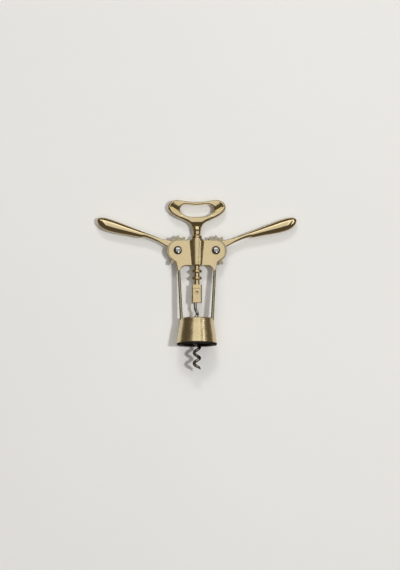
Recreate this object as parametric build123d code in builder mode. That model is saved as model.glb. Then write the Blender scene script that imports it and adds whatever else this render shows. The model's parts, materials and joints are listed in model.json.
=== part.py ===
"""Lever corkscrew with a ring rack, two geared levers and a cap-lifter handle.

Units are millimetres. Every piece is drawn upright: Z runs up the worm's axis from the bell's mouth
to the handle, X points at the right lever, and the front faces -Y. At the end the whole tool is laid
on its back, resting on the bell's rim and the handle, with the floor at Z = 0.
"""

import os
from math import acos, atan2, cos, degrees, pi, radians, sin, tan

from build123d import *

os.makedirs("parts", exist_ok=True)

# Levers and their gears
pivot_x = 19.0
pivot_z = 94.8
lever_rise = 20.5  # degrees above level, at rest
gear_module = 2.2
gear_teeth = 14  # of a full circle
pressure_angle = 20.0
gear_pitch_r = gear_module * gear_teeth / 2
rack_pitch = pi * gear_module
gear_tip_r = 16.0
gear_root_r = 11.8
gear_flank_r = 13.5  # below this radius a tooth widens to its root
tooth_root_half = 1.9
tooth_crown = 0.15
backlash = 0.45
tooth_step = 360 / gear_teeth
cut_teeth = 10  # teeth that the lever really has
first_tooth = 64.3  # degrees from the outward direction, on the right lever
hub_r = 11.3
hub_half = 2.85

# Ring rack
ring_r = 5.05
core_r = 2.7
rack_pitch_r = pivot_x - gear_pitch_r
rings_below = 4
rings_above = 2
sleeve_bottom = 56.95
sleeve_top = 110.6
sleeve_collar_top = 60.5
spindle_r = 1.6
spindle_clearance = 0.05

# Yoke
plate_half = 5.0
gap_half = 3.15
lobe_r = 9.0
boss_bottom = 80.0
boss_top = 107.0
boss_bottom_r = 7.25
boss_top_r = 9.0
boss_bore_r = 5.25
pocket_r = 16.7
leg_half = 4.6
leg_round = 1.15
leg_spans = [(24.0, 13.93, 16.83), (78.0, 16.75, 19.42)]  # height, inner and outer edge
plate_bevel = 0.35
boss_bevel = 0.5
arm_slot_x = 11.0
arm_slot_z = 80.0
arm_slot_size = (6.6, 8.0)

# Bell and its liner
bell_top = 27.0
bell_top_r = 16.8
bell_mouth_r = 20.15
bell_inner_mouth_r = 18.4
bell_inner_top_r = 14.6
bell_inner_top = 23.0
bell_eye_r = 9.0
bell_low = 1.8
seat_z = 14.0
socket_r = 15.2
guide_hole_r = 4.9
guide_thick = 3.0

# Pivot pins
pin_r = 2.5
pin_clearance = 0.05
dome_r = 4.3
dome_high = 1.9
spigot_r = 1.4
spigot_long = 1.2

# Worm and chuck
wire_r = 1.45
helix_r = 2.9
helix_pitch = 10.7
helix_bottom = -23.5
helix_turns = 5.0
shank_x = -1.6
shank_bottom = 36.0
shank_top = 49.0
chuck_bottom = 42.3
chuck_top = 56.8
chuck_flat = 3.0
chuck_grip = 2.0  # how far the spindle goes into the chuck
chuck_pin_z = 52.7
chuck_pin_r = 1.9
chuck_pin_proud = 0.3
chuck_bevel = 0.3

# Handle
neck_bottom = 110.75
neck_r = 4.3
waist_r = 3.7
handle_half = 5.6
loop_half = 4.2
handle_rest_z = 137.0
handle_round = 1.0
spindle_top = 122.0


def front(offset=0.0):
    """The front view's plane, offset towards the viewer."""
    return Plane.XZ.offset(offset)


def across(z):
    """The plane square to the worm's axis at height z."""
    return Plane.XY.offset(z)


def involute_half_angle(radius):
    """Half of a gear tooth's angle at this radius, in radians."""
    base_r = gear_pitch_r * cos(radians(pressure_angle))
    at_pitch = (rack_pitch / 2 - backlash / 2) / 2 / gear_pitch_r
    flank = radians(pressure_angle)
    here = acos(min(1.0, base_r / radius))
    return at_pitch + (tan(flank) - flank) - (tan(here) - here)


def polar(radius, angle):
    """A point at this radius and angle in radians."""
    return (radius * cos(angle), radius * sin(angle))


def tooth_cell():
    """One gear tooth with its share of the rim, pointing along +X, with the gear's centre at the origin."""
    base_r = gear_pitch_r * cos(radians(pressure_angle))
    flank_radii = [base_r + (gear_tip_r - base_r) * step / 3 for step in range(4)]
    upper = [polar(r, involute_half_angle(r)) for r in flank_radii]
    lower = [(x, -y) for x, y in upper]
    half_cell = radians(tooth_step / 2) + 0.01
    flank = involute_half_angle(base_r)
    foot = tooth_root_half / gear_root_r
    with BuildSketch() as cell:
        with BuildLine():
            Polyline(polar(gear_root_r, -half_cell), (0, 0), polar(gear_root_r, half_cell))
            ThreePointArc(
                polar(gear_root_r, half_cell),
                polar(gear_root_r, (half_cell + foot) / 2),
                polar(gear_root_r, foot),
            )
            Polyline(polar(gear_root_r, foot), polar(gear_flank_r, flank), upper[0])
            Spline(*upper)
            ThreePointArc(upper[-1], (gear_tip_r + tooth_crown, 0), lower[-1])
            Spline(*lower)
            Polyline(lower[0], polar(gear_flank_r, -flank), polar(gear_root_r, -foot))
            ThreePointArc(
                polar(gear_root_r, -foot),
                polar(gear_root_r, -(half_cell + foot) / 2),
                polar(gear_root_r, -half_cell),
            )
        make_face()
    return cell.sketch


# Legs: two rounded bars from the bell up into the plates
with BuildPart() as legs:
    for side in (-1, 1):
        for height, inner, outer in leg_spans:
            with BuildSketch(across(height)):
                with Locations((side * (inner + outer) / 2, 0)):
                    RectangleRounded(outer - inner, 2 * leg_half, leg_round)
        loft()

# Yoke: a slotted boss with two pairs of plates, on two legs
plate_corners = [(0, 104.9), (28.0, 104.0), (28.0, 88.3), (20.0, 82.4), (18.0, 72.0)]
arch_corners = [(16.3, 72.0), (16.3, 80.0), (0, 80.0)]

with BuildPart() as yoke:
    with BuildSketch(front()):
        with BuildLine():
            FilletPolyline(*plate_corners, radius=[lobe_r, 5.0, 3.5])
            Line(plate_corners[-1], arch_corners[0])
            FilletPolyline(*arch_corners, radius=7.6)
            mirror(about=Plane.YZ)
        make_face()
    extrude(amount=plate_half, both=True)
    for end in (0, -1):
        chamfer(edges().filter_by(Plane.XZ).group_by(Axis.Y)[end], length=plate_bevel)
    add(legs.part)
    with BuildSketch(across(boss_bottom)):
        Circle(boss_bottom_r)
    with BuildSketch(across(boss_top)):
        Circle(boss_top_r)
    loft()
    chamfer(edges().filter_by(GeomType.CIRCLE).sort_by(Axis.Z)[-1], length=boss_bevel)
    with BuildSketch(across(boss_bottom - 1)):
        Circle(boss_bore_r)
    extrude(amount=boss_top - boss_bottom + 2, mode=Mode.SUBTRACT)
    with BuildSketch(front()):
        with Locations((pivot_x, pivot_z), (-pivot_x, pivot_z)):
            Circle(pocket_r)
        with Locations((arm_slot_x, arm_slot_z), (-arm_slot_x, arm_slot_z)):
            Rectangle(*arm_slot_size)
    extrude(amount=gap_half, both=True, mode=Mode.SUBTRACT)
    with BuildSketch(front()):
        with Locations((pivot_x, pivot_z), (-pivot_x, pivot_z)):
            Circle(pin_r)
    extrude(amount=plate_half + 1, both=True, mode=Mode.SUBTRACT)

# Bell: a flared shell that stands on the bottle's shoulder
with BuildPart() as bell:
    with BuildSketch(Plane.XZ):
        with BuildLine():
            flare = Spline(
                (bell_mouth_r, bell_low),
                (18.45, 13.5),
                (17.2, 20.5),
                (bell_top_r, 25.5),
                tangents=[(-0.16, 1), (0, 1)],
            )
            shoulder = ThreePointArc(flare @ 1, (bell_top_r - 0.42, 26.58), (bell_top_r - 1.5, bell_top))
            Polyline(
                shoulder @ 1,
                (bell_eye_r, bell_top),
                (bell_eye_r, bell_inner_top),
                (bell_inner_top_r, bell_inner_top),
                (bell_inner_mouth_r, bell_low),
                (bell_mouth_r, bell_low),
            )
        make_face()
    revolve(axis=Axis.Z)
    add(legs.part, mode=Mode.SUBTRACT)

# Liner: a plastic ring round the mouth, the bottle's seat and the worm's guide in one moulding
liner_top = seat_z + guide_thick
liner_slope = (bell_inner_mouth_r - bell_inner_top_r) / (bell_inner_top - bell_low)
liner_mouth_r = bell_inner_mouth_r - 0.05
liner_top_r = liner_mouth_r - liner_slope * (liner_top - bell_low)

with BuildPart() as liner:
    with BuildSketch(Plane.XZ):
        with BuildLine():
            Polyline(
                (socket_r, 0.8),
                (socket_r + 0.8, 0),
                (bell_mouth_r - 0.5, 0),
                (bell_mouth_r - 0.1, 0.4),
                (bell_mouth_r - 0.1, bell_low),
                (liner_mouth_r, bell_low),
                (liner_top_r, liner_top),
                (guide_hole_r + 2.0, liner_top),
                (guide_hole_r, liner_top - 2.0),
                (guide_hole_r, seat_z),
                (socket_r, seat_z),
                close=True,
            )
        make_face()
    revolve(axis=Axis.Z)

# Ring rack: a sleeve that slides in the boss while the spindle turns inside it
flank_slope = tan(radians(pressure_angle))
ring_pitch_half = (rack_pitch / 2 - backlash / 2) / 2
ring_tip_half = ring_pitch_half - (ring_r - rack_pitch_r) * flank_slope
ring_root_half = ring_pitch_half + (rack_pitch_r - core_r) * flank_slope
sleeve_bore_r = spindle_r + spindle_clearance

with BuildPart() as rack_sleeve:
    with BuildSketch(Plane.XZ):
        with Locations((0, sleeve_bottom)):
            Rectangle(core_r, sleeve_top - sleeve_bottom, align=(Align.MIN, Align.MIN))
            Rectangle(ring_r, sleeve_collar_top - sleeve_bottom, align=(Align.MIN, Align.MIN))
        with Locations([(0, pivot_z + step * rack_pitch) for step in range(-rings_below, rings_above + 1)]):
            Polygon(
                (core_r - 0.2, -ring_root_half),
                (ring_r - 0.35, -ring_tip_half - 0.1),
                (ring_r, -ring_tip_half + 0.3),
                (ring_r, ring_tip_half - 0.3),
                (ring_r - 0.35, ring_tip_half + 0.1),
                (core_r - 0.2, ring_root_half),
                align=None,
            )
        with Locations((0, sleeve_bottom - 1)):
            Rectangle(
                sleeve_bore_r,
                sleeve_top - sleeve_bottom + 2,
                align=(Align.MIN, Align.MIN),
                mode=Mode.SUBTRACT,
            )
    revolve(axis=Axis.Z)
    with BuildSketch(across(sleeve_bottom)):
        with Locations((0, 2 * chuck_flat), (0, -2 * chuck_flat)):
            Rectangle(4 * ring_r, 2 * chuck_flat)
    extrude(amount=sleeve_collar_top - sleeve_bottom, mode=Mode.SUBTRACT)

# Spindle: the rod that ties the handle to the chuck
with BuildPart() as spindle:
    with BuildSketch(across(chuck_top - chuck_grip)):
        Circle(spindle_r)
    extrude(amount=spindle_top - chuck_top + chuck_grip)
    chamfer(edges().group_by(Axis.Z)[-1], length=chuck_bevel)

# Chuck: a round block with flats that grips the worm's shank
with BuildPart() as chuck:
    with BuildSketch(across(chuck_bottom)):
        Circle(ring_r)
    extrude(amount=chuck_top - chuck_bottom)
    chamfer(edges().filter_by(GeomType.CIRCLE), length=chuck_bevel)
    with BuildSketch(across(chuck_bottom)):
        Rectangle(4 * ring_r, 2 * chuck_flat)
    extrude(amount=chuck_top - chuck_bottom, mode=Mode.INTERSECT)
    with BuildSketch(across(chuck_top - chuck_grip)):
        Circle(spindle_r)
    extrude(amount=chuck_grip + 1, mode=Mode.SUBTRACT)
    with BuildSketch(across(chuck_bottom)):
        with Locations((shank_x, 0)):
            Circle(wire_r)
    extrude(amount=shank_top - chuck_bottom, mode=Mode.SUBTRACT)
    with BuildSketch(front(-chuck_flat)):
        with Locations((0, chuck_pin_z)):
            Circle(chuck_pin_r)
    extrude(amount=2 * chuck_flat, mode=Mode.SUBTRACT)

# Chuck pin: a cross pin flush with the chuck's flats
with BuildPart() as chuck_pin:
    with BuildSketch(front(-chuck_flat)):
        with Locations((0, chuck_pin_z)):
            Circle(chuck_pin_r)
    extrude(amount=2 * chuck_flat + chuck_pin_proud)
    chamfer(edges().group_by(Axis.Y)[0], length=chuck_pin_proud - 0.05)

# Worm: a wire helix that starts off centre in the chuck and ends in a ground point
helix_top = helix_bottom + helix_pitch * helix_turns
point_cut = Location((helix_r + 0.9, -2.2, helix_bottom - 1.2), (60, 0, 0))

with BuildPart() as worm:
    with BuildLine() as wire_path:
        Helix(
            pitch=helix_pitch,
            height=helix_pitch * helix_turns,
            radius=helix_r,
            center=(0, 0, helix_bottom),
        )
    link = Vector(shank_x, 0, shank_bottom) - wire_path.line @ 1
    with BuildSketch(Plane(origin=wire_path.line @ 0, z_dir=wire_path.line % 0)):
        Circle(wire_r)
    sweep(is_frenet=True)
    with BuildSketch(Plane(origin=wire_path.line @ 1, z_dir=link)):
        Circle(wire_r)
    extrude(amount=link.length)
    with Locations(wire_path.line @ 1, (shank_x, 0, shank_bottom)):
        Sphere(wire_r)
    with BuildSketch(across(shank_bottom)):
        with Locations((shank_x, 0)):
            Circle(wire_r)
    extrude(amount=shank_top - shank_bottom)
    with Locations(point_cut):
        Box(6.0, 3.0, 8.0, mode=Mode.SUBTRACT)

# Handle: a kidney-shaped loop that lifts crown caps, on a turned neck
rim_corners = [(5.2, 117.5), (5.9, 122.9), (29.6, 132.0), (28.8, 147.4), (8.0, 143.5), (0, 143.5)]
rim_radii = [6.0, 7.6, 7.6, 30.0]
opening_corners = [(0, 128.7), (7.0, 128.7), (17.6, 132.8), (15.9, 142.6), (8.0, 140.6), (0, 140.6)]
opening_radii = [6.0, 3.6, 4.2, 14.0]

with BuildPart() as handle:
    with BuildSketch(front()):
        with BuildLine():
            Line((0, 117.5), rim_corners[0])
            FilletPolyline(*rim_corners, radius=rim_radii)
            mirror(about=Plane.YZ)
        make_face()
    extrude(amount=loop_half, both=True)
    with BuildSketch(front()):
        with Locations((21.5, 137.4), (-21.5, 137.4)):
            Ellipse(7.2, 7.6)
    extrude(amount=handle_half, both=True)
    with BuildSketch(front()):
        with BuildLine():
            FilletPolyline(*opening_corners, radius=opening_radii)
            mirror(about=Plane.YZ)
        make_face()
    extrude(amount=handle_half + 1, both=True, mode=Mode.SUBTRACT)
    fillet(edges().filter_by(Plane.XZ).group_by(Axis.Y)[0], radius=handle_round)
    fillet(edges().filter_by(Plane.XZ).group_by(Axis.Y)[-1], radius=handle_round)
    with BuildSketch(Plane.XZ):
        with BuildLine():
            Polyline(
                (0, neck_bottom),
                (waist_r, neck_bottom),
                (waist_r, 114.2),
                (neck_r, 115.2),
                (neck_r, 116.8),
                (5.2, 119.5),
                (0, 119.5),
                close=True,
            )
        make_face()
    revolve(axis=Axis.Z)
    with BuildSketch(across(neck_bottom)):
        Circle(spindle_r)
    extrude(amount=spindle_top - neck_bottom, mode=Mode.SUBTRACT)


def lever_sections():
    """(distance from the pivot, lower edge, upper edge, half depth) along the right lever's arm."""
    return [
        (12.0, 1.2, 4.0, 1.6),
        (20.0, 0.9, 5.4, 3.3),
        (28.0, 1.1, 5.6, 3.5),
        (38.0, -0.6, 5.8, 4.0),
        (50.0, -2.5, 6.0, 4.8),
        (62.0, -4.2, 6.2, 5.4),
        (73.0, -5.3, 6.2, 5.7),
        (79.5, -4.6, 5.8, 5.3),
        (83.5, -2.9, 4.4, 3.9),
        (85.4, -0.8, 2.4, 1.7),
    ]


def make_lever(side):
    """A lever with its toothed hub; side is 1 for the right one and -1 for the left one."""
    rise = radians(lever_rise)
    along = Vector(cos(rise), 0, sin(rise))
    upward = Vector(-sin(rise), 0, cos(rise))
    pivot = Vector(pivot_x, 0, pivot_z)
    cell = tooth_cell()
    with BuildPart() as lever:
        with BuildSketch(front()):
            with Locations((pivot_x, pivot_z)):
                Circle(hub_r)
                with PolarLocations(0, cut_teeth, first_tooth, tooth_step * cut_teeth):
                    add(cell)
            with BuildLine():
                neck_points = [(6.0, -3.0), (10.7, -0.3), (17.5, 0.8), (19.0, 5.5), (7.0, 7.0), (0, 7.6)]
                corners = [pivot + along * u + upward * v for u, v in neck_points]
                Polyline(*[(corner.X, corner.Z) for corner in corners], close=True)
            make_face()
        extrude(amount=hub_half, both=True)
        for reach, low, high, half_depth in lever_sections():
            centre = pivot + along * reach + upward * ((low + high) / 2)
            with BuildSketch(Plane(origin=centre, x_dir=(0, 1, 0), z_dir=along)):
                Ellipse(half_depth, (high - low) / 2)
        loft()
        with BuildSketch(front()):
            with Locations((pivot_x, pivot_z)):
                Circle(pin_r + pin_clearance)
        extrude(amount=plate_half, both=True, mode=Mode.SUBTRACT)
    if side < 0:
        lever.part = lever.part.mirror(Plane.YZ)
    return lever


right_lever = make_lever(1)
left_lever = make_lever(-1)


def pivot_plane(side):
    """A half section's plane at a pivot: X is the radius and Y runs from the front to the back."""
    return Plane(origin=(side * pivot_x, 0, pivot_z), x_dir=(1, 0, 0), z_dir=(0, 0, 1))


def pivot_axis(side):
    """The line that a lever turns about."""
    return Axis((side * pivot_x, 0, pivot_z), (0, 1, 0))


dome_edge = plate_half + 0.3
dome_peak = plate_half + dome_high
dome_middle = (dome_r * 0.66, plate_half + dome_high * 0.8)
spigot_end = plate_half + spigot_long


def make_pivot_pin(side):
    """A pin with a domed front head, through both plates and the lever's hub."""
    with BuildPart() as pin:
        with BuildSketch(pivot_plane(side)):
            with BuildLine():
                ThreePointArc((0, -dome_peak), (dome_middle[0], -dome_middle[1]), (dome_r, -dome_edge))
                Polyline(
                    (dome_r, -dome_edge),
                    (dome_r, -plate_half),
                    (pin_r, -plate_half),
                    (pin_r, plate_half),
                    (spigot_r, plate_half),
                    (spigot_r, spigot_end),
                    (0, spigot_end),
                    (0, -dome_peak),
                )
            make_face()
        revolve(axis=pivot_axis(side))
    return pin


def make_pivot_cap(side):
    """The domed cap pressed on the pin's spigot at the back."""
    with BuildPart() as cap:
        with BuildSketch(pivot_plane(side)):
            with BuildLine():
                ThreePointArc((0, dome_peak), dome_middle, (dome_r, dome_edge))
                Polyline(
                    (dome_r, dome_edge),
                    (dome_r, plate_half),
                    (spigot_r, plate_half),
                    (spigot_r, spigot_end),
                    (0, spigot_end),
                    (0, dome_peak),
                )
            make_face()
        revolve(axis=pivot_axis(side))
    return cap


pieces = {
    "yoke": yoke,
    "bell": bell,
    "bell_liner": liner,
    "rack_sleeve": rack_sleeve,
    "spindle": spindle,
    "worm_chuck": chuck,
    "chuck_pin": chuck_pin,
    "worm": worm,
    "handle": handle,
    "right_lever": right_lever,
    "left_lever": left_lever,
    "right_pivot_pin": make_pivot_pin(1),
    "left_pivot_pin": make_pivot_pin(-1),
    "right_pivot_cap": make_pivot_cap(1),
    "left_pivot_cap": make_pivot_cap(-1),
}

# Lay the tool on its back: the bell's rim and the handle's back touch the floor.
tilt = degrees(atan2(bell_mouth_r - 0.1 - handle_half, handle_rest_z))
turned = Rotation(-(90 + tilt), 0, 0)
box = Compound([turned * piece.part for piece in pieces.values()]).bounding_box()
resting = Location((-box.center().X, -box.center().Y, -box.min.Z)) * turned

for name, piece in pieces.items():
    piece.part = resting * piece.part
    piece.part.label = name
    export_step(piece.part, f"parts/{name}.step")
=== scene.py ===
"""The looks of a lever corkscrew that lies on its back on a pale table.

Shapes are drawn upright in millimetres: Z runs up the worm's axis from the bell's mouth to the handle,
X points at the right lever and the front faces -Y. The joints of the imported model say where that
upright tool lies, so each finished piece is moved there by one matrix.
"""

import json
from math import asin, cos, degrees, hypot, pi, radians, sin, tan

import bmesh
import bpy
import numpy as np
from mathutils import Matrix, Vector


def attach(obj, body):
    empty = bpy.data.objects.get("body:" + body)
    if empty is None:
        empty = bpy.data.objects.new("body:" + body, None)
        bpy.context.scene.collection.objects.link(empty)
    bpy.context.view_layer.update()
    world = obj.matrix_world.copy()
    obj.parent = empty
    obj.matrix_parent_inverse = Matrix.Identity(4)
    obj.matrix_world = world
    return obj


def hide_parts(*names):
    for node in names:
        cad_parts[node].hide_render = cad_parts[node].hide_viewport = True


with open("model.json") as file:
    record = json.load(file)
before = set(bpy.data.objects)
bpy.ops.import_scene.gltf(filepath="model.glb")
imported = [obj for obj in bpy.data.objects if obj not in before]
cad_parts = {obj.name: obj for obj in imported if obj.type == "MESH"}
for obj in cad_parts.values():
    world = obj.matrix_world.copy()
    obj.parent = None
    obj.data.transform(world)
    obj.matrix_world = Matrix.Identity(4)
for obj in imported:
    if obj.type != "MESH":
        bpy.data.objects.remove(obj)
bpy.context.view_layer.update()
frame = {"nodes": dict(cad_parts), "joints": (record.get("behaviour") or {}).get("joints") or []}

MM = 0.001
WELD = 1e-4  # points nearer than this, in millimetres, become one
SHARP = radians(35)  # edges that turn by more than this get a bevel
BEVEL_SEGMENTS = 3
scene = bpy.context.scene

# The levers of the upright tool: their pivots, in millimetres, and how far they rise above level
PIVOT_X, PIVOT_Z = 19.0, 94.8
LEVER_RISE = radians(20.5)
SIDES = ((1, "right"), (-1, "left"))

# ---------------------------------------------------------------------------------------------
# Where the upright tool lies
# ---------------------------------------------------------------------------------------------
joints = {joint["name"]: joint for joint in frame["joints"]}
axis_up = Vector(joints["rack_slide"]["axis"]).normalized()
side_on = Vector((1, 0, 0))
backward = axis_up.cross(side_on).normalized()
pivots = (Vector(joints["right_lever_swing"]["pos_m"]) + Vector(joints["left_lever_swing"]["pos_m"])) / 2
mouth = pivots - axis_up * (PIVOT_Z * MM)
LYING = Matrix.Translation(mouth) @ Matrix((side_on, backward, axis_up)).transposed().to_4x4()
LYING = LYING @ Matrix.Scale(MM, 4)


# ---------------------------------------------------------------------------------------------
# Mesh helpers
# ---------------------------------------------------------------------------------------------
def finish_piece(mesh, name, body, node, material, bevel=0.0, levels=0):
    """Lay a mesh down, smooth it and hang it on its body in place of its CAD node."""
    mesh.transform(LYING)
    mesh.update()
    piece = bpy.data.objects.new(name, mesh)
    scene.collection.objects.link(piece)
    for polygon in mesh.polygons:
        polygon.use_smooth = True
    if bevel:
        edge = piece.modifiers.new("edges", "BEVEL")
        edge.width = bevel * MM
        edge.segments = BEVEL_SEGMENTS
        edge.limit_method = "ANGLE"
        edge.angle_limit = SHARP
        edge.harden_normals = True
    if levels:
        smooth = piece.modifiers.new("smooth", "SUBSURF")
        smooth.levels = smooth.render_levels = levels
    mesh.materials.append(material)
    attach(piece, body)
    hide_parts(node)
    return piece


def mesh_from(points, faces, name):
    """A mesh with outward normals."""
    mesh = bpy.data.meshes.new(name)
    mesh.from_pydata([tuple(p) for p in points], [], faces)
    work = bmesh.new()
    work.from_mesh(mesh)
    bmesh.ops.remove_doubles(work, verts=work.verts, dist=WELD)
    bmesh.ops.recalc_face_normals(work, faces=work.faces)
    work.to_mesh(mesh)
    work.free()
    return mesh


def ring_faces(rings, size, closed_along=False):
    """Quads between successive rings of points, and one polygon over each end of an open run."""
    faces = []
    spans = rings if closed_along else rings - 1
    for ring in range(spans):
        after = (ring + 1) % rings
        for i in range(size):
            j = (i + 1) % size
            faces.append((ring * size + i, ring * size + j, after * size + j, after * size + i))
    if not closed_along:
        faces.append(tuple(range(size)))
        faces.append(tuple(range((rings - 1) * size, rings * size)))
    return faces


def slab(outline, near, far, name):
    """A flat shape between two depths; the outline is in X and Z."""
    count = len(outline)
    points = [(x, near, z) for x, z in outline] + [(x, far, z) for x, z in outline]
    faces = [tuple(range(count)), tuple(range(count, 2 * count))]
    faces += [(i, (i + 1) % count, count + (i + 1) % count, count + i) for i in range(count)]
    return mesh_from(points, faces, name)


def cut(mesh, cutter):
    """The mesh with the cutter's shape taken out of it."""
    things = [bpy.data.objects.new("cut", part) for part in (mesh, cutter)]
    for thing in things:
        scene.collection.objects.link(thing)
    taking = things[0].modifiers.new("taking", "BOOLEAN")
    taking.object = things[1]
    taking.solver = "EXACT"
    depsgraph = bpy.context.evaluated_depsgraph_get()
    result = bpy.data.meshes.new_from_object(things[0].evaluated_get(depsgraph))
    for thing in things:
        bpy.data.objects.remove(thing)
    return result


def lathe(profile, name, axis_origin=(0, 0, 0), axis=(0, 0, 1), steps=96):
    """A turned shape from a profile of (radius, height); one that ends where it starts makes a tube."""
    origin, axis = Vector(axis_origin), Vector(axis).normalized()
    across = axis.orthogonal().normalized()
    third = axis.cross(across)
    points = []
    for radius, height in profile:
        for step in range(steps):
            turn = 2 * pi * step / steps
            out = across * (radius * cos(turn)) + third * (radius * sin(turn))
            points.append(origin + axis * height + out)
    closed = profile[0][0] > 0 and profile[0] == profile[-1]
    if closed:
        points = points[: -steps]
        faces = ring_faces(len(profile) - 1, steps, closed_along=True)
    else:
        faces = ring_faces(len(profile), steps)
    return mesh_from(points, faces, name)


def arc(centre, radius, start, end, steps):
    """Points on an arc, angles in degrees."""
    span = [start + (end - start) * step / steps for step in range(steps + 1)]
    return [(centre[0] + radius * cos(radians(a)), centre[1] + radius * sin(radians(a))) for a in span]


def catmull_rom(p0, p1, p2, p3, t):
    """The curve's place between p1 and p2, at t from 0 to 1."""
    square = (2 * p0 - 5 * p1 + 4 * p2 - p3) * t**2
    cube = (3 * p1 - p0 - 3 * p2 + p3) * t**3
    return 0.5 * (2 * p1 + (p2 - p0) * t + square + cube)


def smooth_curve(points, per_span, closed=False):
    """A Catmull-Rom curve through the points."""
    points = [np.array(p, float) for p in points]
    count = len(points)
    out = []
    spans = count if closed else count - 1
    for i in range(spans):
        if closed:
            p0, p1, p2, p3 = (points[(i + k) % count] for k in (-1, 0, 1, 2))
        else:
            p1, p2 = points[i], points[i + 1]
            p0 = points[i - 1] if i else 2 * p1 - p2
            p3 = points[i + 2] if i + 2 < count else 2 * p2 - p1
        out += [catmull_rom(p0, p1, p2, p3, step / per_span) for step in range(per_span)]
    if not closed:
        out.append(points[-1])
    return np.array(out)


def interpolate(table, x):
    """Smoothly interpolate the columns of a table whose first column is x."""
    xs = [row[0] for row in table]
    x = min(max(x, xs[0]), xs[-1])
    i = max(k for k in range(len(xs) - 1) if xs[k] <= x)
    t = (x - xs[i]) / (xs[i + 1] - xs[i])
    out = []
    for column in range(1, len(table[0])):
        values = [row[column] for row in table]
        before = values[i - 1] if i else values[i]
        after = values[i + 2] if i + 2 < len(values) else values[i + 1]
        out.append(catmull_rom(before, values[i], values[i + 1], after, t))
    return out


# ---------------------------------------------------------------------------------------------
# Materials
# ---------------------------------------------------------------------------------------------
NOISE_LOW, NOISE_HIGH = 0.3, 0.7  # most of a noise texture's values lie between these
DRIFT_SCALE, PATCH_SCALE, GRAIN_SCALE = 60, 350, 2600  # noise cells in a metre
GRAIN_DEPTH = 0.00004  # metres
BRUSHED = (0.02, 1, 0.02)  # scales that stretch the grain along X and Z


def node_material(name):
    """A new material with its node tree and its shader."""
    material = bpy.data.materials.new(name)
    material.use_nodes = True
    tree = material.node_tree
    return material, tree, tree.nodes["Principled BSDF"]


def link(tree, source, target):
    """Join one node's output to another node's input."""
    tree.links.new(source, target)


def noise(tree, scale, detail=3.0, stretch=None):
    """Noise in object space; stretch scales it along each axis, to make brush marks."""
    coords = tree.nodes.new("ShaderNodeTexCoord")
    texture = tree.nodes.new("ShaderNodeTexNoise")
    texture.inputs["Scale"].default_value = scale
    texture.inputs["Detail"].default_value = detail
    if stretch:
        mapping = tree.nodes.new("ShaderNodeMapping")
        mapping.inputs["Scale"].default_value = stretch
        link(tree, coords.outputs["Object"], mapping.inputs["Vector"])
        link(tree, mapping.outputs["Vector"], texture.inputs["Vector"])
    else:
        link(tree, coords.outputs["Object"], texture.inputs["Vector"])
    return texture.outputs["Fac"]


def mapped(tree, value, low, high):
    """A noise value spread between two limits."""
    spread = tree.nodes.new("ShaderNodeMapRange")
    spread.inputs["From Min"].default_value = NOISE_LOW
    spread.inputs["From Max"].default_value = NOISE_HIGH
    spread.inputs["To Min"].default_value = low
    spread.inputs["To Max"].default_value = high
    link(tree, value, spread.inputs["Value"])
    return spread.outputs["Result"]


def tinted(tree, value, dark, light):
    """A colour between two, by a noise value."""
    ramp = tree.nodes.new("ShaderNodeValToRGB")
    ramp.color_ramp.elements[0].position = NOISE_LOW
    ramp.color_ramp.elements[0].color = (*dark, 1)
    ramp.color_ramp.elements[1].position = NOISE_HIGH
    ramp.color_ramp.elements[1].color = (*light, 1)
    link(tree, value, ramp.inputs["Fac"])
    return ramp.outputs["Color"]


def bumped(tree, shader, value, strength, distance):
    """Roughen a shader's surface by a noise value."""
    bump = tree.nodes.new("ShaderNodeBump")
    bump.inputs["Strength"].default_value = strength
    bump.inputs["Distance"].default_value = distance
    link(tree, value, bump.inputs["Height"])
    link(tree, bump.outputs["Normal"], shader.inputs["Normal"])


def metal(name, dark, light, rough, grain=None, bump=0.05):
    """Plated metal: a slight colour drift, uneven roughness and a fine grain."""
    material, tree, shader = node_material(name)
    shader.inputs["Metallic"].default_value = 1.0
    drift = noise(tree, DRIFT_SCALE)
    link(tree, tinted(tree, drift, dark, light), shader.inputs["Base Color"])
    patches = noise(tree, PATCH_SCALE, 2.0)
    link(tree, mapped(tree, patches, rough[0], rough[1]), shader.inputs["Roughness"])
    fine = noise(tree, GRAIN_SCALE, 2.0, grain)
    bumped(tree, shader, fine, bump, GRAIN_DEPTH)
    return material


POLISHED = metal("polished_gold", (0.83, 0.68, 0.39), (0.89, 0.74, 0.45), (0.11, 0.15), bump=0.008)
SATIN = metal("satin_gold", (0.86, 0.71, 0.42), (0.91, 0.75, 0.45), (0.27, 0.29), bump=0.004)
TURNED = metal("turned_gold", (0.84, 0.69, 0.40), (0.90, 0.75, 0.46), (0.26, 0.30), BRUSHED, bump=0.03)
BRIGHT = metal("bright_gold", (0.84, 0.68, 0.37), (0.90, 0.74, 0.44), (0.14, 0.18), bump=0.015)
# A darker copy of the same gold, which paints shade onto the levers' toothed hubs and the legs
SHADED_GOLD = metal("shaded_gold", (0.46, 0.40, 0.25), (0.53, 0.46, 0.29), (0.26, 0.30), bump=0.008)
CHROME = metal("bright_chrome", (0.42, 0.42, 0.41), (0.50, 0.50, 0.49), (0.07, 0.09), bump=0.004)
WORM_STEEL = metal("worm_steel", (0.46, 0.45, 0.43), (0.56, 0.55, 0.52), (0.10, 0.15), bump=0.02)
STEEL = metal("plain_steel", (0.45, 0.45, 0.45), (0.58, 0.58, 0.58), (0.25, 0.35), bump=0.08)


def black_plastic():
    """Dull black plastic with a fine moulded grain."""
    material, tree, shader = node_material("black_plastic")
    speck = noise(tree, 500)
    link(tree, tinted(tree, speck, (0.006, 0.006, 0.006), (0.014, 0.013, 0.012)), shader.inputs["Base Color"])
    link(tree, mapped(tree, speck, 0.38, 0.52), shader.inputs["Roughness"])
    shader.inputs["Specular IOR Level"].default_value = 0.25
    bumped(tree, shader, noise(tree, 1800), 0.25, 0.00005)
    return material


PLASTIC = black_plastic()

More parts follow.
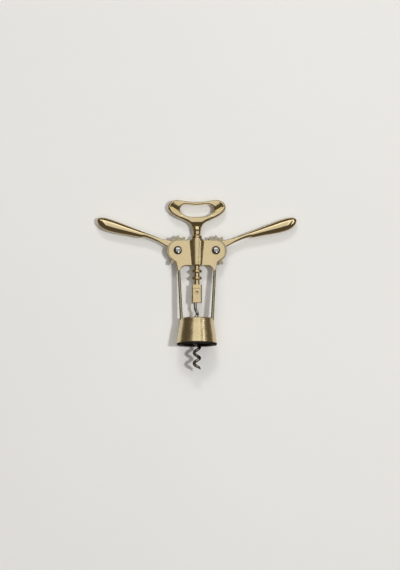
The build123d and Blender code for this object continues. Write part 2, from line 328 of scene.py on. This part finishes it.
CAD_MATERIALS = {
    "yoke": SATIN, "bell": TURNED, "bell_liner": PLASTIC, "rack_sleeve": BRIGHT, "spindle": STEEL,
    "worm_chuck": SATIN, "chuck_pin": BRIGHT, "worm": WORM_STEEL, "handle": POLISHED,
    "right_lever": POLISHED, "left_lever": POLISHED, "right_pivot_pin": CHROME,
    "left_pivot_pin": CHROME, "right_pivot_cap": CHROME, "left_pivot_cap": CHROME,
}
for node, material in CAD_MATERIALS.items():
    mesh = frame["nodes"][node].data
    mesh.materials.clear()
    mesh.materials.append(material)

# ---------------------------------------------------------------------------------------------
# Handle: a kidney-shaped loop with scooped ends, a wedge-shaped foot and a turned neck
# ---------------------------------------------------------------------------------------------
LOOP_CENTRE = np.array([0.0, 134.8])
PARALLEL, EDGE_SLACK = 1e-12, 1e-9  # limits for telling where a ray leaves an outline
RIM_HALF = [
    (0, 117.6), (3.0, 117.6), (4.6, 117.9), (5.2, 119.4), (6.5, 121.4), (9.0, 123.4), (14.0, 125.8),
    (20.5, 128.8), (25.6, 132.4), (28.4, 136.2), (28.6, 140.2), (26.2, 143.6), (21.5, 145.4),
    (16.5, 145.3), (10.0, 144.3), (4.5, 143.8), (0, 143.7),
]
HOLE_HALF = [
    (0, 128.5), (6.0, 128.5), (10.5, 129.6), (14.2, 131.6), (16.4, 134.3), (16.8, 137.0),
    (15.6, 139.6), (13.0, 141.2), (9.5, 141.5), (5.0, 141.0), (0, 140.7),
]
LOOP_STATIONS = 208  # sections round the loop
ROUND_STEPS, FLAT_STEPS = 5, 16  # steps over each rounded edge, and over the flat between them
OUTER_ROUND, INNER_ROUND = (2.5, 0.48), (1.5, 0.36)  # radius of each edge, and its largest share of the width

# Half of the loop's thickness: in the top bar's middle, and what the ends and the lower part add to it
LOOP_HALF, STOUT_HALF = 4.4, 1.0
ENDS_FROM, ENDS_OVER = 8, 12  # distance from the middle where the ends start, and their fade
LOWER_FROM, LOWER_OVER = 132.5, 4  # height below which the lower part starts, and its fade
# Below the ridge the foot thins down like a wedge
RIDGE_Z, FOOT_Z = 123.6, 117.6
FOOT_HALF, FOOT_GROWS = 3.3, 2.2

# Each end is scooped out from a crease that runs from near the rim to near the hole
CREASE_OUT, CREASE_IN = np.array([26.6, 137.9]), np.array([16.5, 132.2])
SCOOP_DEEP, SCOOP_WIDE = 2.3, 8.5
SCOOP_WALL, SCOOP_CURVE = 0.14, 1.7  # the steep wall's share of the width, and how the rest rises
SCOOP_FROM, SCOOP_OVER = 8, 7  # distance from the middle where it sets in, and its fade
RIM_LEFT, RIM_FADE = 1.2, 2.4  # the rim that is left whole, and the fade beside it

NECK = [
    (0.0, 110.8), (3.5, 110.8), (3.9, 111.1), (3.85, 112.0), (3.85, 113.6), (3.9, 114.5), (4.3, 115.1),
    (4.55, 115.9), (4.55, 116.7), (4.3, 117.3), (4.1, 117.9), (4.2, 119.5), (0.0, 119.6),
]


def smoothstep(x):
    """Rises smoothly from 0 to 1 as x does."""
    x = min(1.0, max(0.0, x))
    return x * x * (3 - 2 * x)


def mirrored(half):
    """The whole outline from its right half, starting at the bottom of the middle line."""
    left = [(-x, z) for x, z in reversed(half) if x > 0]
    return half + left


def ray_hit(outline, direction):
    """Where a ray from the loop's centre leaves a closed outline."""
    reach = 0.0
    for a, b in zip(outline, np.roll(outline, -1, axis=0)):
        edge, gap = b - a, a - LOOP_CENTRE
        cross = direction[0] * edge[1] - direction[1] * edge[0]
        if abs(cross) < PARALLEL:
            continue
        t = (gap[0] * edge[1] - gap[1] * edge[0]) / cross
        s = (gap[0] * direction[1] - gap[1] * direction[0]) / cross
        if t > 0 and -EDGE_SLACK <= s <= 1 + EDGE_SLACK:
            reach = max(reach, t)
    return LOOP_CENTRE + direction * reach


def handle_half(x, z):
    """Half of the handle's thickness at a point of its front view, before its edges are rounded."""
    x = abs(x)
    stout = max(smoothstep((x - ENDS_FROM) / ENDS_OVER), smoothstep((LOWER_FROM - z) / LOWER_OVER))
    half = LOOP_HALF + STOUT_HALF * stout
    if z < RIDGE_Z:
        half = min(half, FOOT_HALF + FOOT_GROWS * (z - FOOT_Z) / (RIDGE_Z - FOOT_Z))
    return half


def scoop(x, z, from_rim):
    """How deep the scooped end lies below the loop's front at a point."""
    along = (CREASE_IN - CREASE_OUT) / np.linalg.norm(CREASE_IN - CREASE_OUT)
    above = np.array([along[1], -along[0]])
    q = float(np.dot(np.array([abs(x), z]) - CREASE_OUT, above)) / SCOOP_WIDE
    if not 0 < q < 1:
        return 0.0
    wall = smoothstep(q / SCOOP_WALL)
    fade = smoothstep((from_rim - RIM_LEFT) / RIM_FADE) * smoothstep((abs(x) - SCOOP_FROM) / SCOOP_OVER)
    return SCOOP_DEEP * (1 - q) ** SCOOP_CURVE * wall * fade


def handle_section(outer, inner):
    """One closed section of the loop, from its outer wall over the front to the hole and round the back."""
    width = float(np.linalg.norm(outer - inner))
    inward = (inner - outer) / width
    outer_round, inner_round = (min(radius, share * width) for radius, share in (OUTER_ROUND, INNER_ROUND))
    turns = [radians(90 * step / ROUND_STEPS) for step in range(ROUND_STEPS + 1)]
    flat = width - outer_round - inner_round
    front = [(outer_round * (1 - cos(turn)), outer_round * (1 - sin(turn))) for turn in turns]
    front += [(outer_round + flat * step / FLAT_STEPS, 0.0) for step in range(1, FLAT_STEPS)]
    front += [(width - inner_round * (1 - sin(turn)), inner_round * (1 - cos(turn))) for turn in turns]
    section = []
    for along, drop in front:
        x, z = outer + inward * along
        section.append((x, handle_half(x, z) - drop - scoop(x, z, along), z))
    return [(x, -y, z) for x, y, z in section] + [(x, y, z) for x, y, z in reversed(section)]


def make_handle():
    """The loop, from sections at equal steps round its rim, and the neck."""
    rim = smooth_curve(mirrored(RIM_HALF), 10, closed=True)
    hole = smooth_curve(mirrored(HOLE_HALF), 8, closed=True)
    closed = np.vstack([rim, rim[:1]])
    lengths = np.r_[0, np.cumsum(np.linalg.norm(np.diff(closed, axis=0), axis=1))]
    points = []
    for station in range(LOOP_STATIONS):
        along = lengths[-1] * station / LOOP_STATIONS
        outer = np.array([np.interp(along, lengths, closed[:, axis]) for axis in (0, 1)])
        direction = (outer - LOOP_CENTRE) / np.linalg.norm(outer - LOOP_CENTRE)
        section = handle_section(outer, ray_hit(hole, direction))
        points += section
    loop = mesh_from(points, ring_faces(LOOP_STATIONS, len(section), closed_along=True), "handle_loop")
    finish_piece(loop, "handle_loop", "screw", "handle", POLISHED, levels=1)
    neck = lathe(NECK, "handle_neck")
    finish_piece(neck, "handle_neck", "screw", "handle", POLISHED, levels=1)


make_handle()

# ---------------------------------------------------------------------------------------------
# Levers
# ---------------------------------------------------------------------------------------------
# Along the arm: distance from the pivot, lower edge, upper edge, half depth, squareness of the section
# (2 is an ellipse, and more is squarer)
ARM = [
    (7.5, -1.6, 6.9, 2.8, 9.0),
    (10.7, -0.3, 6.7, 2.8, 9.0),
    (14.0, 0.3, 6.2, 2.8, 8.0),
    (17.5, 0.75, 5.7, 2.85, 5.5),
    (21.0, 1.1, 5.5, 3.0, 3.6),
    (26.0, 1.3, 5.6, 3.4, 2.7),
    (31.0, 1.3, 5.7, 3.7, 2.4),
    (36.8, 0.8, 5.8, 4.0, 2.3),
    (39.3, -0.8, 5.9, 4.2, 2.2),
    (49.0, -2.4, 6.0, 4.8, 2.15),
    (60.0, -4.5, 6.2, 5.3, 2.1),
    (70.0, -5.9, 6.3, 5.6, 2.1),
    (76.0, -6.0, 6.1, 5.5, 2.1),
    (80.5, -5.1, 5.5, 4.8, 2.1),
    (84.2, -3.2, 4.3, 3.6, 2.1),
    (86.0, -1.1, 2.8, 2.0, 2.1),
    (86.5, 0.2, 1.7, 0.8, 2.0),
]
ARM_PARTS, ARM_STEPS = 3, 32  # rings to each row of the table, and points round each ring

GEAR_PLACES, GEAR_CUT = 14, 10  # tooth places all the way round, and how many of them are cut
FIRST_TOOTH = 64.3  # degrees from the right round to the middle of the first tooth
HUB_R, HUB_HALF = 10.9, 2.85
BORE_R, BORE_REACH = 2.6, 5.0  # the rivet's bore through the hub, cut from in front of it to behind it
HUB_STEPS = 12
TOOTH = [(-12.86, 10.9), (-9.2, 11.0), (-6.6, 12.4), (-5.9, 13.6), (-4.6, 14.5), (-2.6, 15.05), (0, 15.15)]
TOOTH += [(-angle, radius) for angle, radius in reversed(TOOTH[1:-1])]


def arm_points(side):
    """Rings of points along a lever's arm, and how many rings there are."""
    reaches = []
    for a, b in zip(ARM, ARM[1:]):
        reaches += [a[0] + (b[0] - a[0]) * k / ARM_PARTS for k in range(ARM_PARTS)]
    reaches.append(ARM[-1][0])
    points = []
    for reach in reaches:
        low, high, half, power = interpolate(ARM, reach)
        for k in range(ARM_STEPS):
            turn = 2 * pi * k / ARM_STEPS
            c, s = cos(turn), sin(turn)
            r = (abs(c) ** power + abs(s) ** power) ** (-1 / power)
            v = (low + high) / 2 + (high - low) / 2 * r * s
            y = half * r * c
            x = PIVOT_X + reach * cos(LEVER_RISE) - v * sin(LEVER_RISE)
            z = PIVOT_Z + reach * sin(LEVER_RISE) + v * cos(LEVER_RISE)
            points.append((side * x, y, z))
    return points, len(reaches)


def gear_outline():
    """The toothed hub seen from the front of the right lever, in order round the pivot."""
    step = 360 / GEAR_PLACES
    outline = []
    for tooth in range(GEAR_CUT):
        for offset, radius in TOOTH:
            angle = radians(FIRST_TOOTH + step * tooth + offset)
            outline.append((radius * cos(angle), radius * sin(angle)))
    start = FIRST_TOOTH + step * (GEAR_CUT - 1) + step / 2
    end = 360 + FIRST_TOOTH - step / 2
    for k in range(HUB_STEPS + 1):
        angle = radians(start + (end - start) * k / HUB_STEPS)
        outline.append((HUB_R * cos(angle), HUB_R * sin(angle)))
    return outline


def make_lever(side, word):
    """One lever: its arm and its toothed hub, bored for the rivet."""
    name, body, node = f"{word}_lever_arm", f"{word}_arm", f"{word}_lever"
    points, rings = arm_points(side)
    arm = mesh_from(points, ring_faces(rings, ARM_STEPS), name)
    finish_piece(arm, name, body, node, POLISHED, levels=1)
    name = f"{word}_lever_hub"
    outline = [(side * (PIVOT_X + x), PIVOT_Z + z) for x, z in gear_outline()]
    bore = [(0.0, -BORE_REACH), (BORE_R, -BORE_REACH), (BORE_R, BORE_REACH), (0.0, BORE_REACH)]
    rod = lathe(bore, "bore", (side * PIVOT_X, 0, PIVOT_Z), (0, 1, 0), steps=64)
    hub = cut(slab(outline, -HUB_HALF, HUB_HALF, name), rod)
    # The toothed hub takes the darker copy of the gold: painted shade
    finish_piece(hub, name, body, node, SHADED_GOLD, bevel=0.9)


for side, word in SIDES:
    make_lever(side, word)


# ---------------------------------------------------------------------------------------------
# Worm: a tapered wire helix
# ---------------------------------------------------------------------------------------------
WIRE_R, HELIX_R = 1.6, 2.75
HELIX_BOTTOM, PITCH = -23.6, 10.5
HELIX_TURNS, TURN_STEPS, FIRST_STEP = 5, 28, 3
TAPER_START, TAPER_STEP = 0.75, 0.06  # share of the full radius after the point, and its growth per step
STRETCH, STRETCH_FROM = 0.7, 2  # millimetres that each later turn is longer by, and after which turn
CLOSING_FROM, CLOSING_OVER = 4.1, 0.9  # turns over which the helix draws in towards the shank
CLOSING_IN, CLOSING_LEFT = 1.5, 0.8  # how far it draws in, and how far it moves to the left
WIRE_STEPS = 20
POINT = [((3.95, -0.55, -24.7), 0.12), ((3.3, 0.5, -23.7), 0.7)]
SHANK = [
    (0.35, 0.75, 32.5), (-0.45, 0.95, 34.0), (-1.2, 0.55, 35.6), (-1.58, 0.1, 37.4), (-1.6, 0, 40.0),
    (-1.6, 0, 44.5), (-1.6, 0, 49.0),
]


def worm_path():
    """The wire's middle line from its point up to the chuck, with its radius at each place."""
    path = list(POINT)
    for k in range(FIRST_STEP, HELIX_TURNS * TURN_STEPS + 1):
        turns = k / TURN_STEPS
        angle = 2 * pi * turns
        closing = smoothstep((turns - CLOSING_FROM) / CLOSING_OVER)
        reach = HELIX_R - CLOSING_IN * closing
        height = HELIX_BOTTOM + PITCH * turns + STRETCH * max(0.0, turns - STRETCH_FROM)
        taper = min(1.0, TAPER_START + (k - FIRST_STEP) * TAPER_STEP)
        reach += WIRE_R * (1 - taper)
        place = (reach * cos(angle) - CLOSING_LEFT * closing, reach * sin(angle), height)
        path.append((place, WIRE_R * taper))
    return path + [(place, WIRE_R) for place in SHANK]


def make_worm():
    """A round wire along the worm's path, carried forward without twist."""
    path = worm_path()
    centres = [Vector(place) for place, _ in path]
    points = []
    normal = Vector((1, 0, 0))
    for i, (_, radius) in enumerate(path):
        ahead = centres[min(i + 1, len(path) - 1)] - centres[max(i - 1, 0)]
        tangent = ahead.normalized()
        normal = (normal - tangent * normal.dot(tangent)).normalized()
        binormal = tangent.cross(normal)
        for k in range(WIRE_STEPS):
            turn = 2 * pi * k / WIRE_STEPS
            points.append(centres[i] + (normal * cos(turn) + binormal * sin(turn)) * radius)
    mesh = mesh_from(points, ring_faces(len(path), WIRE_STEPS), "worm_wire")
    finish_piece(mesh, "worm_wire", "screw", "worm", WORM_STEEL, levels=1)


make_worm()


# ---------------------------------------------------------------------------------------------
# Yoke, bell and chuck
# ---------------------------------------------------------------------------------------------
# The right plate's outline: each corner with the radius of its rounding
PLATE = [
    ((4.5, 104.9), 0.0), ((27.8, 104.0), 9.0), ((27.8, 89.2), 5.5), ((19.9, 82.9), 3.0), ((18.6, 74.5), 0.0),
    ((17.1, 74.5), 0.0), ((16.3, 80.0), 6.6), ((4.5, 80.0), 0.0),
]
PLATE_FRONT, PLATE_BACK = 5.0, 3.15  # distances of a plate's two faces from the middle
CORNER_STEPS = 8
LEG = [(24.0, 13.93, 16.83), (79.4, 16.79, 19.5)]  # height, inner and outer edge
LEG_HALF = 4.6

# The boss: a sleeve that is narrowed sideways at its top, outside the bore
BOSS_BORE = 5.3
BOSS = [
    (BOSS_BORE, 80.0), (6.9, 80.0), (7.25, 80.35), (8.85, 104.0), (8.9, 104.9), (8.9, 105.6), (8.9, 106.4),
    (8.7, 107.0), (BOSS_BORE, 107.0), (BOSS_BORE, 80.0),
]
BOSS_WALL = 0.5  # the narrowing leaves alone what is nearer to the bore than this
NARROW_FROM, NARROW_OVER = 104, 3  # height where the boss starts to get narrower, and over how much more
BOSS_NARROW = 0.37  # how much narrower it is at the top
BOSS_SLOT = (83.3, 105.1)  # heights between which the levers' teeth reach in from both sides
SLOT_REACH = 12  # beyond the boss on both sides

BELL_LIP, BELL_TOP, BELL_CEILING = 1.8, 26.95, 23.0  # heights of the rim, the top and the top's underside
BELL_INNER_R, BELL_RIM_R, BELL_CEILING_R, BELL_TOP_R, BELL_EYE_R = 18.4, 19.95, 14.6, 12.0, 9.0
SHOULDER_CENTRE, SHOULDER_R = (15.3, 25.4), 1.5
FLARE = [(20.15, BELL_LIP), (19.3, 7.0), (18.45, 13.5), (17.6, 18.5), (17.05, 22.0), (16.82, 25.4)]

CHUCK_FLAT, CHUCK_R = 3.0, 5.05  # distance of the flats from the middle, and the round sides' radius
CHUCK_LOW, CHUCK_HIGH = 42.3, 56.75
CHUCK_PIN = (0, -3.4, 52.7)  # the middle of the pin's dished end
DISH = [
    (0.0, 0.36), (0.5, 0.3), (1.0, 0.1), (1.3, -0.1), (1.55, -0.18), (1.8, -0.1), (1.9, 0.05), (1.9, 6.3),
    (0.0, 6.3),
]


def rounded(corners):
    """An outline with each corner rounded by its own radius."""
    outline = []
    for i, (corner, radius) in enumerate(corners):
        corner = np.array(corner)
        if not radius:
            outline.append(tuple(corner))
            continue
        before = np.array(corners[i - 1][0]) - corner
        after = np.array(corners[(i + 1) % len(corners)][0]) - corner
        before, after = before / np.linalg.norm(before), after / np.linalg.norm(after)
        half = np.arccos(np.clip(np.dot(before, after), -1, 1)) / 2
        middle = corner + (before + after) / np.linalg.norm(before + after) * radius / sin(half)
        start = corner + before * radius / tan(half) - middle
        end = corner + after * radius / tan(half) - middle
        for step in range(CORNER_STEPS + 1):
            point = start + (end - start) * step / CORNER_STEPS
            outline.append(tuple(middle + point * radius / np.linalg.norm(point)))
    return outline


def make_yoke():
    """Two pairs of plates, two legs and the slotted boss."""
    outline = rounded(PLATE)
    for side, word in SIDES:
        turned = [(side * x, z) for x, z in outline]
        for near, far, place in ((-PLATE_FRONT, -PLATE_BACK, "front"), (PLATE_BACK, PLATE_FRONT, "back")):
            name = f"yoke_{word}_{place}_plate"
            plate = slab(turned, near, far, name)
            finish_piece(plate, name, "frame", "yoke", SATIN, bevel=0.9)
        (low, low_in, low_out), (high, high_in, high_out) = LEG
        bar = [(side * x, z) for x, z in ((low_in, low), (low_out, low), (high_out, high), (high_in, high))]
        leg = slab(bar, -LEG_HALF, LEG_HALF, f"yoke_{word}_leg")
        # The leg takes the darker copy of the gold: painted shade
        finish_piece(leg, f"yoke_{word}_leg", "frame", "yoke", SHADED_GOLD, bevel=1.35)
    boss = lathe(BOSS, "yoke_boss", steps=128)
    for vertex in boss.vertices:
        if hypot(vertex.co.x, vertex.co.y) > BOSS_BORE + BOSS_WALL:
            vertex.co.x *= 1 - BOSS_NARROW * max(0.0, vertex.co.z - NARROW_FROM) / NARROW_OVER
    low, high = BOSS_SLOT
    slot = [(-SLOT_REACH, low), (SLOT_REACH, low), (SLOT_REACH, high), (-SLOT_REACH, high)]
    boss = cut(boss, slab(slot, -PLATE_BACK, PLATE_BACK, "slot"))
    finish_piece(boss, "yoke_boss", "frame", "yoke", SATIN, bevel=0.2)


def make_bell():
    """The flared shell, open at the mouth and round the worm; returns the piece."""
    flare = smooth_curve(FLARE, 6)
    shoulder = arc(SHOULDER_CENTRE, SHOULDER_R, 0, 90, 6)
    profile = [(BELL_INNER_R, BELL_LIP), (BELL_RIM_R, BELL_LIP)]
    profile += [tuple(point) for point in flare] + shoulder[1:]
    profile += [(BELL_TOP_R, BELL_TOP), (BELL_EYE_R, BELL_TOP)]
    profile += [(BELL_EYE_R, BELL_CEILING), (BELL_CEILING_R, BELL_CEILING)]
    profile.append(profile[0])
    bell = lathe(profile, "bell_shell", steps=144)
    return finish_piece(bell, "bell_shell", "frame", "bell", TURNED)


def make_chuck():
    """The block between two flats, and the dished pin through it."""
    reach = degrees(asin(CHUCK_FLAT / CHUCK_R))
    outline = []
    for middle in (0, 180):
        outline += arc((0, 0), CHUCK_R, middle - reach, middle + reach, 10)
    points = [(x, y, z) for z in (CHUCK_LOW, CHUCK_HIGH) for x, y in outline]
    block = mesh_from(points, ring_faces(2, len(outline)), "chuck_block")
    finish_piece(block, "chuck_block", "screw", "worm_chuck", SATIN, bevel=0.35)
    pin = lathe(DISH, "chuck_cross_pin", CHUCK_PIN, (0, 1, 0), steps=40)
    finish_piece(pin, "chuck_cross_pin", "screw", "chuck_pin", BRIGHT)


make_yoke()
bell_shell = make_bell()
make_chuck()


# ---------------------------------------------------------------------------------------------
# Floor, lights and camera
# ---------------------------------------------------------------------------------------------
WARM_ROOM = (1.0, 0.82, 0.62, 1)  # the colour that metal reflects where no lamp shows
TABLE_HALF = 3.0
TABLE_DARK, TABLE_LIGHT = (0.82, 0.816, 0.795), (0.84, 0.836, 0.815)
NEAR_REFLECTION, FAR_REFLECTION = 0.004, 0.03  # metres from the table over which its reflection darkens
LAMP_DISTANCE = 3.0
CARD_X, CARD_Y, CARD_Z = 0.060, -0.055, 0.0005
CARD_SIZE = (0.07, 0.09)
CAMERA_DISTANCE, PICTURE_TALL = 5.0, 0.570
MIDDLE_HEIGHT = 0.015  # the height where the picture has its true scale
CAMERA_PLACE = (0.00315, -0.00045, CAMERA_DISTANCE + MIDDLE_HEIGHT)


def make_floor():
    """A pale table that the metal reflects brightly only where it is near."""
    mesh = bpy.data.meshes.new("table")
    corners = [(-1, -1), (1, -1), (1, 1), (-1, 1)]
    mesh.from_pydata([(x * TABLE_HALF, y * TABLE_HALF, 0) for x, y in corners], [], [(0, 1, 2, 3)])
    table = bpy.data.objects.new("table", mesh)
    scene.collection.objects.link(table)
    material, tree, shader = node_material("table_white")
    mottle = tinted(tree, noise(tree, 3.0), TABLE_DARK, TABLE_LIGHT)
    link(tree, mottle, shader.inputs["Base Color"])
    shader.inputs["Roughness"].default_value = 0.7
    rays = tree.nodes.new("ShaderNodeLightPath")
    reach = tree.nodes.new("ShaderNodeMapRange")
    reach.inputs["From Min"].default_value = NEAR_REFLECTION
    reach.inputs["From Max"].default_value = FAR_REFLECTION
    link(tree, rays.outputs["Ray Length"], reach.inputs["Value"])
    far = tree.nodes.new("ShaderNodeMath")
    far.operation = "MULTIPLY"
    link(tree, reach.outputs["Result"], far.inputs[0])
    link(tree, rays.outputs["Is Glossy Ray"], far.inputs[1])
    room = tree.nodes.new("ShaderNodeEmission")
    room.inputs["Color"].default_value = WARM_ROOM
    room.inputs["Strength"].default_value = 0.10
    mix = tree.nodes.new("ShaderNodeMixShader")
    link(tree, far.outputs["Value"], mix.inputs[0])
    link(tree, shader.outputs["BSDF"], mix.inputs[1])
    link(tree, room.outputs["Emission"], mix.inputs[2])
    link(tree, mix.outputs["Shader"], tree.nodes["Material Output"].inputs["Surface"])
    mesh.materials.append(material)


def area_lamp(name, matrix, size, radiance, lights_floor=False, shows_in_metal=False, only=()):
    """A rectangular lamp that lights what is dull, or shows in what is bright, or both."""
    data = bpy.data.lights.new(name, "AREA")
    data.shape = "RECTANGLE"
    data.size, data.size_y = size
    data.energy = radiance * pi * data.size * data.size_y
    lamp = bpy.data.objects.new(name, data)
    lamp.matrix_world = matrix
    lamp.visible_camera = False
    lamp.visible_diffuse = lights_floor
    lamp.visible_glossy = shows_in_metal
    scene.collection.objects.link(lamp)
    if only:
        receivers = bpy.data.collections.new(f"{name}_receivers")
        for piece in only:
            receivers.objects.link(piece)
        lamp.light_linking.receiver_collection = receivers


def softbox(name, towards, spread, radiance, **uses):
    """A lamp far up: its direction from overhead and its span are in degrees along X and Y."""
    outward = Vector((tan(radians(towards[0])), tan(radians(towards[1])), 1)).normalized()
    rightward = Vector((0, 1, 0)).cross(outward).normalized()
    turned = Matrix((rightward, outward.cross(rightward), outward)).transposed()
    size = [2 * LAMP_DISTANCE * tan(radians(angle / 2)) for angle in spread]
    place = Matrix.Translation(outward * LAMP_DISTANCE)
    area_lamp(name, place @ turned.to_4x4(), size, radiance, **uses)


def floor_card(name, place, size, radiance, only):
    """A pale card that lies on the table and shows in one piece's sides."""
    face_up = Matrix.Rotation(pi, 4, "X")
    area_lamp(name, Matrix.Translation(place) @ face_up, size, radiance, shows_in_metal=True, only=only)


def make_lights():
    """Lamps for the table and panels that show in the metal; the rivets and the bell have their own too."""
    rivets = [frame["nodes"][f"{word}_pivot_pin"] for _, word in SIDES]
    softbox("key", (20, 3), (4, 4), 290, lights_floor=True)
    softbox("window", (-2, 42), (14, 10), 16, lights_floor=True)
    softbox("fill", (0, 0), (60, 60), 0.95, lights_floor=True)
    softbox("overhead_panel", (3, 6), (46, 28), 0.64, shows_in_metal=True)
    softbox("middle_panel", (1, 30), (48, 20), 0.70, shows_in_metal=True)
    softbox("far_panel", (-2, 51), (60, 22), 1.05, shows_in_metal=True)
    softbox("left_strip", (-19, 26), (6, 66), 0.45, shows_in_metal=True)
    softbox("right_strip", (20, 26), (5, 66), 0.50, shows_in_metal=True)
    softbox("side_strip", (46, 26), (8, 66), 2.0, shows_in_metal=True)
    softbox("rivet_window", (0, 35), (38, 12), 1.5, shows_in_metal=True, only=rivets)
    softbox("rivet_lamp", (14, -24), (20, 18), 4.0, shows_in_metal=True, only=rivets)
    for side, word in SIDES:
        floor_card(f"bell_card_{word}", (side * CARD_X, CARD_Y, CARD_Z), CARD_SIZE, 0.55, only=[bell_shell])


def make_world():
    """A dim warm room for light and reflections, and a pale one for the camera."""
    world = bpy.data.worlds.new("room")
    world.use_nodes = True
    tree = world.node_tree
    dim = tree.nodes["Background"]
    dim.inputs["Color"].default_value = WARM_ROOM
    dim.inputs["Strength"].default_value = 0.085
    pale = tree.nodes.new("ShaderNodeBackground")
    pale.inputs["Color"].default_value = (0.80, 0.79, 0.75, 1)
    rays = tree.nodes.new("ShaderNodeLightPath")
    mix = tree.nodes.new("ShaderNodeMixShader")
    link(tree, rays.outputs["Is Camera Ray"], mix.inputs[0])
    link(tree, dim.outputs["Background"], mix.inputs[1])
    link(tree, pale.outputs["Background"], mix.inputs[2])
    link(tree, mix.outputs["Shader"], tree.nodes["World Output"].inputs["Surface"])
    scene.world = world


def make_camera():
    """A camera straight above, far off, so that the picture is 570 mm tall at the tool."""
    data = bpy.data.cameras.new("camera")
    data.sensor_width = 36.0
    data.lens = data.sensor_width * CAMERA_DISTANCE / PICTURE_TALL
    data.clip_end = 20.0
    camera = bpy.data.objects.new("camera", data)
    camera.location = CAMERA_PLACE
    scene.collection.objects.link(camera)
    scene.camera = camera


make_floor()
make_lights()
make_world()
make_camera()
scene.view_settings.view_transform = "Standard"
